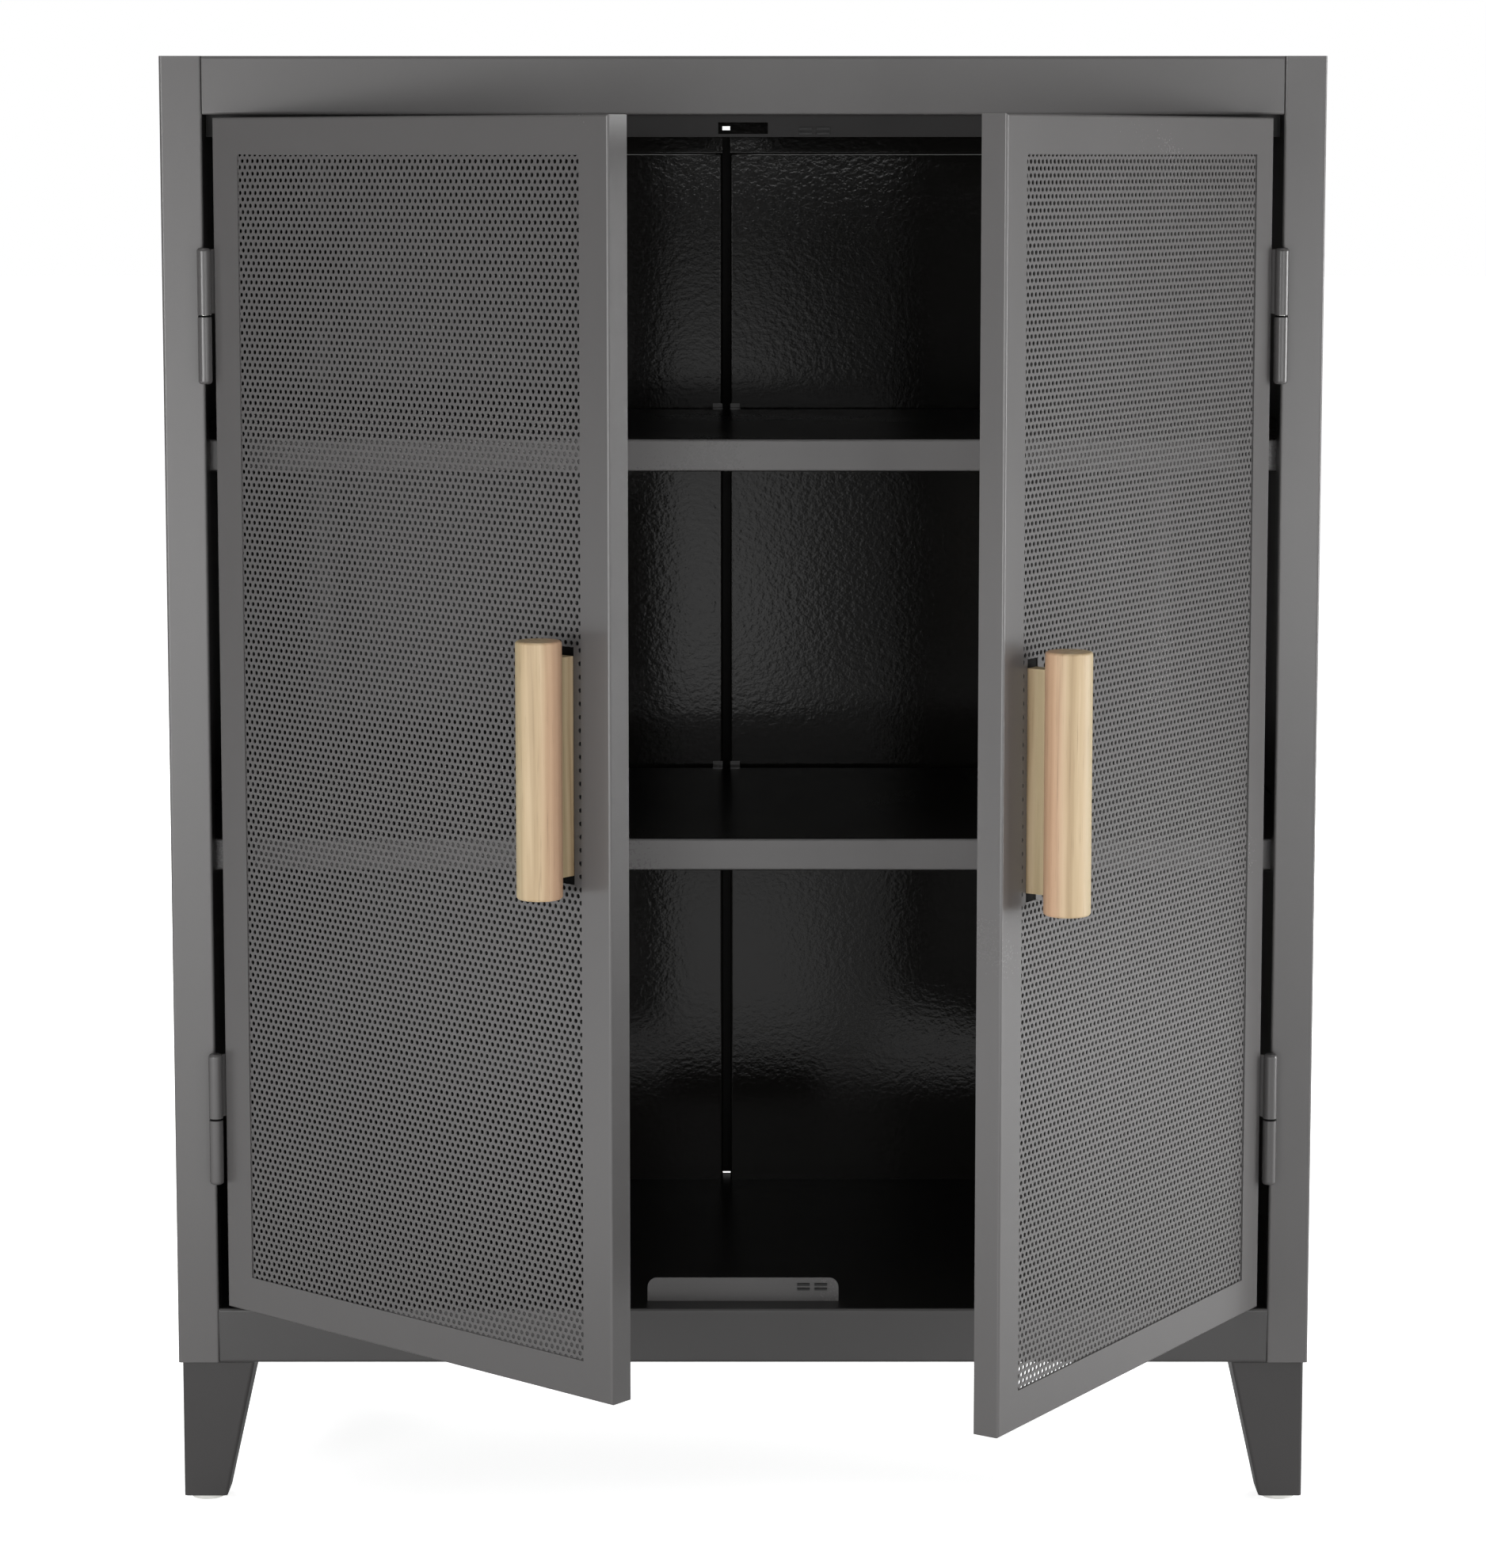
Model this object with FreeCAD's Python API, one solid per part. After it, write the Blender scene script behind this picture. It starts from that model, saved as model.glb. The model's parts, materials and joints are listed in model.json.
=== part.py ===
import FreeCAD, Part
import math
import os

V = FreeCAD.Vector
os.makedirs("parts", exist_ok=True)

# A low steel sideboard cabinet with two perforated doors, two shelves and tapered legs.
# Millimetres. X runs to the cabinet's right, -Y is the front, +Z is up.
# The origin is on the floor, under the centre of the cabinet box's footprint.

# overall sizes
WIDTH = 800.0
DEPTH = 400.0
HEIGHT = 1020.0

# legs and glides
GLIDE_H = 4.0
GLIDE_R_TOP = 12.2
GLIDE_R_FLOOR = 11.5
GLIDE_STEM_R = 4.0
GLIDE_STEM_H = 16.0
LEG_H = 97.0
LEG_TOP = 51.0
LEG_FOOT = 30.5
LEG_WALL = 1.5
LEG_EDGE_R = 2.5
LEG_INSET = 2.5
LEG_PLATE_T = 1.0
LEG_PLATE_STEP = 0.6

# folded sheet steel
SHEET = 1.2
BEND_R = 2.0
SEAM = 0.3
STILE = 29.0
STILE_RETURN = 18.0
REAR_RETURN = 20.0
SIDE_FOOT_FLANGE = 55.0
TOP_RAIL = 40.0
BOTTOM_RAIL = 39.0
TOP_RAIL_RETURN = 20.0
BOTTOM_RAIL_RETURN = 25.0

# back: two sheets that meet at a recessed groove, a rail above them and a strip behind them
BACK_INSET = 21.8
BACK_RAIL_TOP = 66.0
BACK_RAIL_GAP = 0.0
GROOVE_CENTRE = -13.0
GROOVE_W = 6.0
GROOVE_D = 13.0
SPLICE_W = 34.0
SPLICE_GAP_LOW = 3.0
SPLICE_GAP_HIGH = 3.0
GROOVE_ABOVE_RAIL = 22.0

# shelves, open underneath, lying on clips
SHELF_TOPS = {"upper": 756.0, "lower": 474.0}
SHELF_FOLD = 23.0
SHELF_SIDE_FOLD = 18.0
SHELF_LIP = 10.0
SHELF_SET_BACK = 25.0
SHELF_REAR_GAP = 10.0
SHELF_SIDE_CLEAR = 1.8
CLIP_T = 1.2
CLIP_L = 20.0
CLIP_REACH = 14.0
CLIP_DROP = 22.0
CLIP_FROM_EDGE = 60.0
LUG_W = 7.5
LUG_H = 4.0
LUG_T = 1.5
LUG_FOOT_T = 1.2
LUG_FOOT_L = 17.0

# door stops and magnetic catches
DOOR_STOP_GAP = 2.8
STOP_LIP_DROP = 15.0
STOP_LIP_FLANGE = 18.0
STOP_WINDOW_W = 34.4
STOP_WINDOW_H = 8.0
STOP_WINDOW_UP = 2.0
STOP_PLATE_W = 136.0
STOP_PLATE_H = 17.0
STOP_PLATE_R = 7.0
STOP_PLATE_FOOT = 18.0
CATCH_X = 49.2
CATCH_SLOT_W = 9.0
CATCH_SLOT_H = 1.7
CATCH_PITCH_X = 12.3
CATCH_PITCH_Z = 3.3
CATCH_FIT = 0.2
CATCH_BODY = (27.0, 12.0, 7.0)
CATCH_PROUD = 1.6
CATCH_Z_FROM_LIP = 3.9
CATCH_Z_ON_PLATE = 10.4

# doors
SIDE_GAP = 4.0
CENTRE_GAP = 3.0
GAP_ABOVE = 2.0
GAP_BELOW = 3.0
DOOR_T = 18.0
DOOR_SHEET = 1.0
DOOR_EDGE_R = 1.5
BORDER = 25.0
BACK_RETURN = 15.0
PANEL_T = 0.8
PANEL_LAP = 8.0
OPEN_LEFT = 40.3
OPEN_RIGHT = 56.5

# weld-on barrel hinges
AXIS_IN = 1.0
BARREL_OFF_STILE = 1.1
HINGE_INSET = 135.5
KNUCKLE_R = 4.9
KNUCKLE_L = 46.0
KNUCKLE_DOME = 2.4
LEAF_T = 2.5
LEAF_D = 14.0
LEAF_SHORT = 1.0
WASHER_T = 1.2
WASHER_GAP = 0.3
WASHER_R = 4.5
PIN_R = 3.0
PIN_RUN = 0.06
PIN_BELOW = 40.0
PIN_ABOVE = 36.0
PIN_END_GAP = 1.0

# handles
BAR_R = 15.0
BAR_L = 167.0
BAR_EDGE_R = 2.0
BAR_FROM_FREE_EDGE = 38.5
BAR_GAP = 10.0
SPACER_W = 11.0
SPACER_L = 143.0
SLOT_SIDE = 1.0
SLOT_END = 6.0
BACKING_W = 24.0
BACKING_L = 170.0
BACKING_T = 3.0
SCREW_R = 2.0
SCREW_CLEAR = 0.25
SCREW_HEAD_R = 4.0
SCREW_HEAD_H = 2.5
SCREW_SPAN = 96.0
SCREW_INTO_BAR = 11.0

# places that follow from the sizes above
X_OUT = WIDTH / 2
Y_FRONT = -DEPTH / 2
Y_REAR = DEPTH / 2
Z_BASE = GLIDE_H + LEG_H + LEG_PLATE_T
X_WALL = X_OUT - SHEET
X_OPEN = X_OUT - STILE
Z_OPEN_LOW = Z_BASE + BOTTOM_RAIL
Z_OPEN_HIGH = HEIGHT - TOP_RAIL
Z_UNDER_TOP = HEIGHT - SHEET
Y_BACK = Y_REAR - BACK_INSET - SHEET
Y_DOOR_BACK = Y_FRONT + DOOR_T
Y_STOP = Y_DOOR_BACK + DOOR_STOP_GAP
X_HINGE_EDGE = X_OPEN - SIDE_GAP
DOOR_W = X_OPEN - SIDE_GAP - CENTRE_GAP / 2
Z_DOOR_LOW = Z_OPEN_LOW + GAP_BELOW
Z_DOOR_HIGH = Z_OPEN_HIGH - GAP_ABOVE
Z_HANDLE = (Z_DOOR_LOW + Z_DOOR_HIGH) / 2
X_AXIS = X_OPEN - AXIS_IN
Y_AXIS = Y_FRONT - KNUCKLE_R - BARREL_OFF_STILE
Z_SPLITS = (Z_DOOR_LOW + HINGE_INSET, Z_DOOR_HIGH - HINGE_INSET)
X_BAR = -CENTRE_GAP / 2 - BAR_FROM_FREE_EDGE
Y_BAR = Y_FRONT - BAR_GAP - BAR_R
Z_BACK_SEAM = Z_UNDER_TOP - BACK_RAIL_TOP


def box(x, y, z):
    """A block between two planes on each axis."""
    return Part.makeBox(x[1] - x[0], y[1] - y[0], z[1] - z[0], V(x[0], y[0], z[0]))


def rod(radius, low, high, x=0.0, y=0.0):
    """An upright round bar."""
    return Part.makeCylinder(radius, high - low, V(x, y, low))


def rounded_wire(points, radii):
    """A closed outline in u and v whose corners are arcs of the given radii."""
    n = len(points)
    arcs = []
    for i in range(n):
        p, a, b = V(*points[i]), V(*points[i - 1]), V(*points[(i + 1) % n])
        to_a, to_b = (a - p).normalize(), (b - p).normalize()
        half = to_a.getAngle(to_b) / 2
        r = radii[i]
        if r <= 0:
            arcs.append((p, None, p))
            continue
        run = r / math.tan(half)
        middle = (to_a + to_b).normalize()
        centre = p + middle * (r / math.sin(half))
        arcs.append((p + to_a * run, centre - middle * r, p + to_b * run))
    edges = []
    for i in range(n):
        start, mid, end = arcs[i]
        if mid is not None:
            edges.append(Part.Arc(start, mid, end).toShape())
        following = arcs[(i + 1) % n][0]
        if (following - end).Length > 1e-6:
            edges.append(Part.LineSegment(end, following).toShape())
    return Part.Wire(edges)


def along(wire, axis, low, high):
    """Fills an outline in u and v and runs it along an axis. Along X, u is Y and v is Z."""
    face = Part.Face(wire)
    if axis == "x":
        face.rotate(V(0, 0, 0), V(1, 1, 1), 120)
        face.translate(V(low, 0, 0))
        return face.extrude(V(high - low, 0, 0))
    face.translate(V(0, 0, low))
    return face.extrude(V(0, 0, high - low))


def folded(path, axis, low, high, thick=SHEET, bend=BEND_R):
    """Sheet folded along a path that is its outer face, with the metal on the path's left."""
    left, inner, outer = [], [], []
    n = len(path)
    runs = [(V(*b) - V(*a)).normalize() for a, b in zip(path, path[1:])]
    for i in range(n):
        before = None if i == 0 else runs[i - 1]
        after = None if i == n - 1 else runs[i]
        sides = [V(-d.y, d.x) for d in (before, after) if d is not None]
        turn = 0.0 if len(sides) == 1 else before.x * after.y - before.y * after.x
        shift = sides[0] if len(sides) == 1 else (sides[0] + sides[1]) * (1 / (1 + sides[0].dot(sides[1])))
        left.append((path[i][0] + shift.x * thick, path[i][1] + shift.y * thick))
        outer.append(0 if turn == 0 else bend if turn > 0 else bend - thick)
        inner.append(0 if turn == 0 else bend - thick if turn > 0 else bend)
    return along(rounded_wire(list(path) + left[::-1], outer + inner[::-1]), axis, low, high)


def mirrored(shape):
    """The same shape on the other side of the cabinet's middle plane."""
    return shape.mirror(V(0, 0, 0), V(1, 0, 0))


def write(name, *solids):
    """Writes one named piece, or a group of separate identical ones."""
    shape = solids[0] if len(solids) == 1 else Part.makeCompound(list(solids))
    if len(solids) == 1 and len(shape.Solids) == 1:
        shape = shape.Solids[0]
    for solid in shape.Solids:
        if not solid.isValid() or solid.Volume <= 0:
            raise ValueError("bad solid in " + name)
    shape.exportStep("parts/" + name + ".step")
    b = shape.BoundBox
    print("%-26s %d solids  X %.1f..%.1f  Y %.1f..%.1f  Z %.1f..%.1f" % (
        name, len(shape.Solids), b.XMin, b.XMax, b.YMin, b.YMax, b.ZMin, b.ZMax))


# ---- side panels: one folded sheet each, with the front stile, its return and a rear return ----
def side_panel():
    path = [(-X_OUT + REAR_RETURN, Y_REAR), (-X_OUT, Y_REAR), (-X_OUT, Y_FRONT),
            (-X_OPEN, Y_FRONT), (-X_OPEN, Y_FRONT + STILE_RETURN)]
    panel = folded(path, "z", Z_BASE, HEIGHT)
    foot = box((-X_WALL - SHEET / 2, -X_WALL - SHEET + SIDE_FOOT_FLANGE),
               (Y_FRONT + BOTTOM_RAIL_RETURN + SEAM, Y_REAR - BOTTOM_RAIL_RETURN - SEAM),
               (Z_BASE, Z_BASE + SHEET))
    seat = box((-X_WALL, -X_OPEN + 1), (Y_FRONT + SHEET, Y_REAR - SHEET), (Z_UNDER_TOP, HEIGHT + 1))
    return panel.fuse(foot).removeSplitter().cut(seat)


left_side = side_panel()
write("side_panel_left", left_side)
write("side_panel_right", mirrored(left_side))

# ---- top panel: rear flange, top, front rail and the rail's return, in one sheet ----
RAIL_END = X_OPEN - SEAM
top_path = [(Y_REAR, HEIGHT - REAR_RETURN), (Y_REAR, HEIGHT), (Y_FRONT, HEIGHT),
            (Y_FRONT, Z_OPEN_HIGH), (Y_FRONT + TOP_RAIL_RETURN, Z_OPEN_HIGH)]
top = folded(top_path, "x", -RAIL_END, RAIL_END)
top = top.fuse(box((-X_WALL, X_WALL), (Y_FRONT + BEND_R, Y_REAR - BEND_R), (Z_UNDER_TOP, HEIGHT)))
write("top_panel", top.removeSplitter())

# ---- bottom panel: front rail, cabinet floor and rear rail, in one sheet ----
bottom_path = [(Y_FRONT + BOTTOM_RAIL_RETURN, Z_BASE), (Y_FRONT, Z_BASE), (Y_FRONT, Z_OPEN_LOW),
               (Y_REAR, Z_OPEN_LOW), (Y_REAR, Z_BASE), (Y_REAR - BOTTOM_RAIL_RETURN, Z_BASE)]
bottom = folded(bottom_path[::-1], "x", -RAIL_END, RAIL_END)
bottom = bottom.fuse(box((-X_WALL, X_WALL), (Y_FRONT + STILE_RETURN + SEAM, Y_REAR - BEND_R - SHEET),
                         (Z_OPEN_LOW - SHEET, Z_OPEN_LOW)))
write("bottom_panel", bottom.removeSplitter())

# ---- back: two sheets with a flange at the groove, a top rail and the strip behind the groove ----
GROOVE = (GROOVE_CENTRE - GROOVE_W / 2, GROOVE_CENTRE + GROOVE_W / 2)
for name, wall, edge in (("left", -X_WALL, GROOVE[0]), ("right", X_WALL, GROOVE[1])):
    path = [(wall, Y_BACK), (edge, Y_BACK), (edge, Y_BACK + GROOVE_D)]
    if name == "right":
        path = path[::-1]
    write("back_sheet_" + name, folded(path, "z", Z_OPEN_LOW, Z_BACK_SEAM))

rail_low = Z_BACK_SEAM + BACK_RAIL_GAP
rail_path = [(Y_BACK + GROOVE_D, rail_low), (Y_BACK, rail_low), (Y_BACK, Z_UNDER_TOP),
             (Y_REAR - BEND_R - SEAM, Z_UNDER_TOP)]
back_rail = folded(rail_path[::-1], "x", -X_WALL, X_WALL)
back_rail = back_rail.cut(box(GROOVE, (Y_BACK - 1, Y_BACK + GROOVE_D + 1),
                              (rail_low - 1, rail_low + GROOVE_ABOVE_RAIL)))
write("back_top_rail", back_rail)
write("back_splice_strip", box(
    (GROOVE_CENTRE - SPLICE_W / 2, GROOVE_CENTRE + SPLICE_W / 2),
    (Y_BACK + GROOVE_D, Y_BACK + GROOVE_D + SHEET),
    (Z_OPEN_LOW + SPLICE_GAP_LOW, rail_low + GROOVE_ABOVE_RAIL - SPLICE_GAP_HIGH)))

# ---- shelves and what holds them ----
X_SHELF = X_WALL - SHELF_SIDE_CLEAR
Y_SHELF = (Y_FRONT + SHELF_SET_BACK, Y_BACK - SHELF_REAR_GAP)
for level, z in SHELF_TOPS.items():
    path = [(Y_SHELF[0] + SHELF_LIP, z - SHELF_FOLD), (Y_SHELF[0], z - SHELF_FOLD), (Y_SHELF[0], z),
            (Y_SHELF[1], z), (Y_SHELF[1], z - SHELF_FOLD)]
    shelf = folded(path[::-1], "x", -X_SHELF, X_SHELF)
    for side in (-1, 1):
        x = sorted((side * X_SHELF, side * (X_SHELF - SHEET)))
        shelf = shelf.fuse(box(x, (Y_SHELF[0] + BEND_R, Y_SHELF[1] - BEND_R),
                               (z - SHELF_SIDE_FOLD, z - SHEET / 2)))
    write("shelf_" + level, shelf.removeSplitter())
    clips, lugs = [], []
    z_rest = z - SHELF_SIDE_FOLD
    for y in (Y_SHELF[0] + CLIP_FROM_EDGE, Y_SHELF[1] - CLIP_FROM_EDGE):
        path = [(-X_WALL, z_rest - CLIP_DROP), (-X_WALL, z_rest), (-X_WALL + CLIP_REACH, z_rest)]
        clip = folded(path[::-1], "z", 0, CLIP_L, CLIP_T, CLIP_T + 0.5)
        clip.rotate(V(0, 0, 0), V(1, 0, 0), 90)
        clip.translate(V(0, y + CLIP_L / 2, 0))
        clips += [clip, mirrored(clip)]
    for x in (GROOVE[0] - LUG_W, GROOVE[1]):
        lug = box((x, x + LUG_W), (Y_BACK - LUG_T, Y_BACK), (z, z + LUG_H))
        lugs.append(lug.fuse(box((x, x + LUG_W), (Y_BACK - LUG_FOOT_L, Y_BACK),
                                 (z, z + LUG_FOOT_T))).removeSplitter())
    write("shelf_clips_" + level, *clips)
    write("shelf_rear_lugs_" + level, *lugs)


# ---- door stops with the catches behind them ----
def catch_cells(z_mid, w, h):
    """The four small rectangles of a catch, as centre and half size in X and Z."""
    return [((CATCH_X + i * CATCH_PITCH_X / 2 - w / 2, CATCH_X + i * CATCH_PITCH_X / 2 + w / 2),
             (z_mid + k * CATCH_PITCH_Z / 2 - h / 2, z_mid + k * CATCH_PITCH_Z / 2 + h / 2))
            for i in (-1, 1) for k in (-1, 1)]


def catch(z_mid):
    """A magnet block behind a stop, with four poles that reach out through its slots."""
    back = Y_STOP + SHEET
    block = box((CATCH_X - CATCH_BODY[0] / 2, CATCH_X + CATCH_BODY[0] / 2),
                (back, back + CATCH_BODY[1]), (z_mid - CATCH_BODY[2] / 2, z_mid + CATCH_BODY[2] / 2))
    for x, z in catch_cells(z_mid, CATCH_SLOT_W - CATCH_FIT, CATCH_SLOT_H - CATCH_FIT):
        block = block.fuse(box(x, (Y_STOP - CATCH_PROUD, back), z))
    return block.removeSplitter()


lip_low = Z_OPEN_HIGH - STOP_LIP_DROP
lip_top = Z_OPEN_HIGH + SHEET
X_LIP = X_OPEN - SEAM
lip = box((-X_LIP, X_LIP), (Y_STOP, Y_STOP + SHEET), (lip_low, lip_top + SHEET))
lip = lip.fuse(box((-X_LIP, X_LIP), (Y_STOP + SHEET - STOP_LIP_FLANGE, Y_STOP + SHEET),
                   (lip_top, lip_top + SHEET)))
lip = lip.cut(box((-STOP_WINDOW_W / 2, STOP_WINDOW_W / 2), (Y_STOP - 1, Y_STOP + SHEET + 1),
                  (lip_low + STOP_WINDOW_UP, lip_low + STOP_WINDOW_UP + STOP_WINDOW_H)))
z_catch = lip_low + CATCH_Z_FROM_LIP
for x, z in catch_cells(z_catch, CATCH_SLOT_W, CATCH_SLOT_H):
    lip = lip.cut(box(x, (Y_STOP - 1, Y_STOP + SHEET + 1), z))
write("door_stop_lip", lip.removeSplitter())
write("magnet_catch_upper", catch(z_catch))

half = STOP_PLATE_W / 2
outline = rounded_wire([(-half, 0), (half, 0), (half, STOP_PLATE_H), (-half, STOP_PLATE_H)],
                       [0, 0, STOP_PLATE_R, STOP_PLATE_R])
plate = along(outline, "z", 0, SHEET)
plate.rotate(V(0, 0, 0), V(1, 0, 0), 90)
plate.translate(V(0, Y_STOP + SHEET, Z_OPEN_LOW))
plate = plate.fuse(box((-half, half), (Y_STOP, Y_STOP + STOP_PLATE_FOOT), (Z_OPEN_LOW, Z_OPEN_LOW + SHEET)))
z_catch = Z_OPEN_LOW + CATCH_Z_ON_PLATE
for x, z in catch_cells(z_catch, CATCH_SLOT_W, CATCH_SLOT_H):
    plate = plate.cut(box(x, (Y_STOP - 1, Y_STOP + SHEET + 1), z))
write("door_stop_plate", plate.removeSplitter())
write("magnet_catch_lower", catch(z_catch))


# ---- legs: hollow, square, tapered on the two inner faces, with a seat plate and a glide ----
def square_wire(inset, size, z, round_r):
    """A square outline at one height, from the leg's outer corner inwards."""
    lo = (-X_OUT + LEG_INSET + inset, Y_FRONT + LEG_INSET + inset)
    s = size - 2 * inset
    points = [lo, (lo[0] + s, lo[1]), (lo[0] + s, lo[1] + s), (lo[0], lo[1] + s)]
    wire = rounded_wire(points, [round_r] * 4)
    wire.translate(V(0, 0, z))
    return wire


def front_left_leg():
    z0, z1 = GLIDE_H, GLIDE_H + LEG_H
    grow = (LEG_TOP - LEG_FOOT) / LEG_H
    shell = Part.makeLoft([square_wire(0, LEG_FOOT, z0, LEG_EDGE_R),
                           square_wire(0, LEG_TOP, z1, LEG_EDGE_R)], True, True)
    low, high = z0 + LEG_WALL, z1 + 1
    hollow = Part.makeLoft([square_wire(LEG_WALL, LEG_FOOT + grow * LEG_WALL, low, LEG_EDGE_R - LEG_WALL),
                            square_wire(LEG_WALL, LEG_TOP + grow, high, LEG_EDGE_R - LEG_WALL)], True, True)
    centre = (-X_OUT + LEG_INSET + LEG_FOOT / 2, Y_FRONT + LEG_INSET + LEG_FOOT / 2)
    leg = shell.cut(hollow).cut(rod(GLIDE_STEM_R, z0 - 1, z0 + LEG_WALL + 1, *centre))
    edge = LEG_INSET + LEG_PLATE_STEP
    size = LEG_TOP - 2 * LEG_PLATE_STEP
    seat = box((-X_OUT + edge, -X_OUT + edge + size), (Y_FRONT + edge, Y_FRONT + edge + size),
               (z1, z1 + LEG_PLATE_T))
    pad = Part.makeCone(GLIDE_R_FLOOR, GLIDE_R_TOP, GLIDE_H, V(centre[0], centre[1], 0))
    glide = pad.fuse(rod(GLIDE_STEM_R, GLIDE_H, GLIDE_H + GLIDE_STEM_H, *centre)).removeSplitter()
    return {"leg": leg, "leg_plate": seat, "glide": glide}


for kind, shape in front_left_leg().items():
    rear = shape.mirror(V(0, 0, 0), V(0, 1, 0))
    write(kind + "_front_left", shape)
    write(kind + "_front_right", mirrored(shape))
    write(kind + "_rear_left", rear)
    write(kind + "_rear_right", mirrored(rear))


# ---- hinges, drawn for the left door when shut ----
def knuckle(low, high, domed_high):
    """A barrel with its outer end rounded off."""
    barrel = rod(KNUCKLE_R, low, high, -X_AXIS, Y_AXIS)
    end = high if domed_high else low
    rim = [e for e in barrel.Edges if len(e.Vertexes) == 1 and abs(e.BoundBox.ZMin - end) < 1e-6
           and abs(e.BoundBox.ZMax - end) < 1e-6]
    return barrel.makeFillet(KNUCKLE_DOME, rim)


def hinge_pieces():
    fixed, turning, pins, washers = [], [], [], []
    y_leaf = (Y_AXIS, Y_FRONT + LEAF_D)
    for split in Z_SPLITS:
        seat = split - (WASHER_T + WASHER_GAP) / 2
        roof = seat + WASHER_T + WASHER_GAP
        lower = knuckle(seat - KNUCKLE_L, seat, False).fuse(box(
            (-X_OPEN, -X_OPEN + LEAF_T), y_leaf, (seat - KNUCKLE_L + LEAF_SHORT, seat - LEAF_SHORT)))
        lower = lower.cut(rod(PIN_R, seat - PIN_BELOW, seat + 1, -X_AXIS, Y_AXIS)).removeSplitter()
        upper = knuckle(roof, roof + KNUCKLE_L, True).fuse(box(
            (-X_HINGE_EDGE - LEAF_T, -X_HINGE_EDGE), y_leaf,
            (roof + LEAF_SHORT, roof + KNUCKLE_L - LEAF_SHORT)))
        upper = upper.cut(rod(PIN_R + PIN_RUN, roof - 1, seat + PIN_ABOVE + PIN_END_GAP,
                              -X_AXIS, Y_AXIS)).removeSplitter()
        washer = rod(WASHER_R, seat, seat + WASHER_T, -X_AXIS, Y_AXIS).cut(
            rod(PIN_R, seat - 1, seat + WASHER_T + 1, -X_AXIS, Y_AXIS))
        fixed.append(lower)
        turning.append(upper)
        washers.append(washer)
        pins.append(rod(PIN_R, seat - PIN_BELOW, seat + PIN_ABOVE, -X_AXIS, Y_AXIS))
    return fixed, turning, pins, washers


# ---- a door and its handle, drawn for the left door when shut ----
def front_rounded(shape):
    """Rounds the four long edges of a block's front face."""
    edges = [e for e in shape.Edges if abs(e.BoundBox.YMax - Y_FRONT) < 1e-6]
    return shape.makeFillet(DOOR_EDGE_R, edges)


def door_pieces():
    x = (-X_HINGE_EDGE, -X_HINGE_EDGE + DOOR_W)
    z = (Z_DOOR_LOW, Z_DOOR_HIGH)

    def inside(by, y_low, y_high):
        return box((x[0] + by, x[1] - by), (y_low, y_high), (z[0] + by, z[1] - by))

    frame = front_rounded(inside(0, Y_FRONT, Y_DOOR_BACK))
    frame = frame.cut(inside(DOOR_SHEET, Y_FRONT + DOOR_SHEET, Y_DOOR_BACK - DOOR_SHEET))
    frame = frame.cut(inside(BORDER, Y_FRONT - 1, Y_FRONT + DOOR_SHEET + 1))
    frame = frame.cut(inside(BACK_RETURN, Y_DOOR_BACK - DOOR_SHEET - 1, Y_DOOR_BACK + 1))

    y_panel = Y_FRONT + DOOR_SHEET
    y_backing = y_panel + PANEL_T
    panel = inside(BORDER - PANEL_LAP, y_panel, y_backing)
    panel = panel.cut(box((X_BAR - SPACER_W / 2 - SLOT_SIDE, X_BAR + SPACER_W / 2 + SLOT_SIDE),
                          (y_panel - 1, y_backing + 1),
                          (Z_HANDLE - SPACER_L / 2 - SLOT_END, Z_HANDLE + SPACER_L / 2 + SLOT_END)))
    backing = box((X_BAR - BACKING_W / 2, X_BAR + BACKING_W / 2), (y_backing, y_backing + BACKING_T),
                  (Z_HANDLE - BACKING_L / 2, Z_HANDLE + BACKING_L / 2))
    bar = rod(BAR_R, Z_HANDLE - BAR_L / 2, Z_HANDLE + BAR_L / 2, X_BAR, Y_BAR)
    spacer = box((X_BAR - SPACER_W / 2, X_BAR + SPACER_W / 2), (Y_BAR, y_backing),
                 (Z_HANDLE - SPACER_L / 2, Z_HANDLE + SPACER_L / 2)).cut(bar)
    rims = [e for e in bar.Edges if e.BoundBox.ZLength < 1e-6]
    bar = bar.makeFillet(BAR_EDGE_R, rims)
    screws = []
    for k in (-1, 1):
        spot = V(X_BAR, y_backing + BACKING_T, Z_HANDLE + k * SCREW_SPAN / 2)
        tip = y_backing + BACKING_T - (Y_BAR + BAR_R - SCREW_INTO_BAR)
        shank = Part.makeCylinder(SCREW_R, tip, spot, V(0, -1, 0))
        clear = Part.makeCylinder(SCREW_R + SCREW_CLEAR, tip + 5, spot + V(0, 1, 0), V(0, -1, 0))
        backing, spacer, bar = backing.cut(clear), spacer.cut(clear), bar.cut(shank)
        head = Part.makeCylinder(SCREW_HEAD_R, SCREW_HEAD_H, spot, V(0, 1, 0))
        screws.append(head.fuse(shank).removeSplitter())
    return {"door_frame": [frame], "door_panel": [panel], "handle_backing": [backing],
            "handle_spacer": [spacer], "handle_bar": [bar], "handle_screws": screws}


def swung(shape, angle, side):
    """A door piece turned from shut to where the door stands open."""
    turned = shape.copy()
    turned.rotate(V(side * X_AXIS, Y_AXIS, 0), V(0, 0, 1), side * angle)
    return turned


fixed, turning, pins, washers = hinge_pieces()
moving = door_pieces()
moving["hinge_door_leaves"] = turning
for name, shapes in (("hinge_frame_leaves", fixed), ("hinge_pins", pins), ("hinge_washers", washers)):
    write(name + "_left", *shapes)
    write(name + "_right", *[mirrored(s) for s in shapes])
for name, shapes in moving.items():
    write(name + "_left", *[swung(s, OPEN_LEFT, -1) for s in shapes])
    write(name + "_right", *[swung(mirrored(s), OPEN_RIGHT, 1) for s in shapes])

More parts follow.
